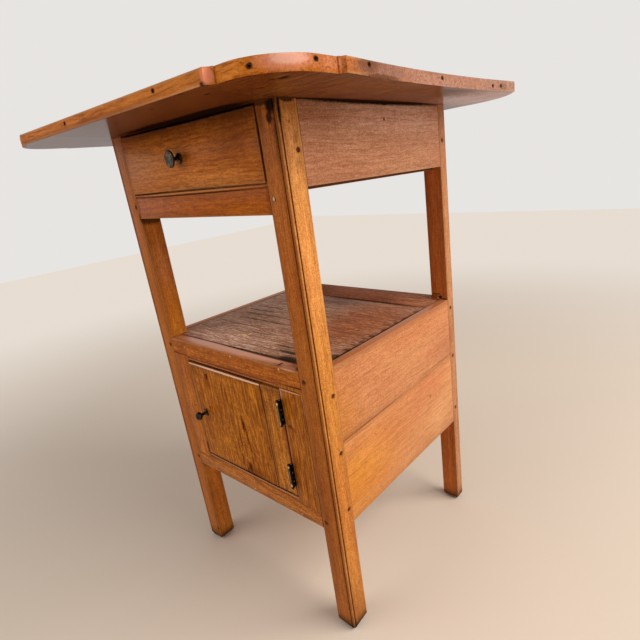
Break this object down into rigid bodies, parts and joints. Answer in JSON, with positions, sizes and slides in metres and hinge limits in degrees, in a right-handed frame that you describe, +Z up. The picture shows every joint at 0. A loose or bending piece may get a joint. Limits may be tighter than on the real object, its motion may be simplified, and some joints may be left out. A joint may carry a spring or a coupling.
{
  "type": "washstand commode",
  "caption": "Small wooden washstand on square legs: broad shaped top over a shallow drawer, an open bay, and a low cupboard closed by a hinged door with a turn latch.",
  "frame": {"origin": "on the floor, under the middle of the top board", "axes": "+Z up, -Y towards the front with the drawer and the door, +X to the right seen from the front"},
  "size_m": [0.602, 0.546, 0.759],
  "materials": {
    "top_wood": "varnished, worn at the edges",
    "honey_wood": "varnished",
    "amber_wood": "varnished",
    "door_wood": "varnished, streaked",
    "weathered_wood": "weathered",
    "plain_wood": "bare",
    "peg_wood": "bare",
    "dark_brass": "darkened",
    "iron": "rusty"
  },
  "bodies": {
    "frame": {"top_board": "top_wood", "front_leg_left": "honey_wood", "front_leg_right": "honey_wood", "back_leg_left": "honey_wood", "back_leg_right": "honey_wood", "side_apron_left": "honey_wood", "side_apron_right": "honey_wood", "back_apron": "amber_wood", "drawer_rail": "amber_wood", "drawer_runner_left": "plain_wood", "drawer_runner_right": "plain_wood", "drawer_guide_left": "plain_wood", "drawer_guide_right": "plain_wood", "guide_nails": "iron", "top_pegs": "peg_wood", "rail_pegs": "peg_wood", "side_pegs": "peg_wood", "back_pegs": "peg_wood", "shelf_front_board": "weathered_wood", "shelf_back_board": "weathered_wood", "shelf_cleat_left": "plain_wood", "shelf_cleat_right": "plain_wood", "cupboard_top_rail": "amber_wood", "cupboard_bottom_rail": "amber_wood", "latch_stile": "amber_wood", "hinge_stile": "amber_wood", "side_panel_left": "honey_wood", "side_panel_right": "honey_wood", "cupboard_back": "amber_wood", "cupboard_floor": "plain_wood", "floor_cleat_left": "plain_wood", "floor_cleat_right": "plain_wood", "rail_nails": "iron", "upper_hinge_stile_leaf": "dark_brass", "upper_hinge_pin": "dark_brass", "lower_hinge_stile_leaf": "dark_brass", "lower_hinge_pin": "dark_brass", "stile_screws": "iron"},
    "drawer": {"drawer_front": "amber_wood", "drawer_side_left": "plain_wood", "drawer_side_right": "plain_wood", "drawer_back": "plain_wood", "drawer_bottom": "plain_wood", "drawer_bottom_nails": "iron", "drawer_knob": "dark_brass", "drawer_knob_nut": "iron"},
    "door": {"door_board": "door_wood", "door_strip": "door_wood", "door_batten_upper": "plain_wood", "door_batten_lower": "plain_wood", "batten_nails": "iron", "upper_hinge_door_leaf": "dark_brass", "lower_hinge_door_leaf": "dark_brass", "door_screws": "iron"},
    "latch": {"door_knob": "dark_brass", "latch_tongue": "iron", "latch_nut": "iron"}
  },
  "joints": [
    {"name": "drawer_slide", "type": "slide", "parent": "frame", "child": "drawer", "axis": [0, -1, 0], "range_m": [0, 0.25]},
    {"name": "door_swing", "type": "hinge", "parent": "frame", "child": "door", "pos_m": [0.108, -0.17325, 0.3], "axis": [0, 0, 1], "range_deg": [0, 170]},
    {"name": "door_latch", "type": "hinge", "parent": "door", "child": "latch", "pos_m": [-0.093, -0.1685, 0.303], "axis": [0, 1, 0], "range_deg": [0, 90]}
  ]
}
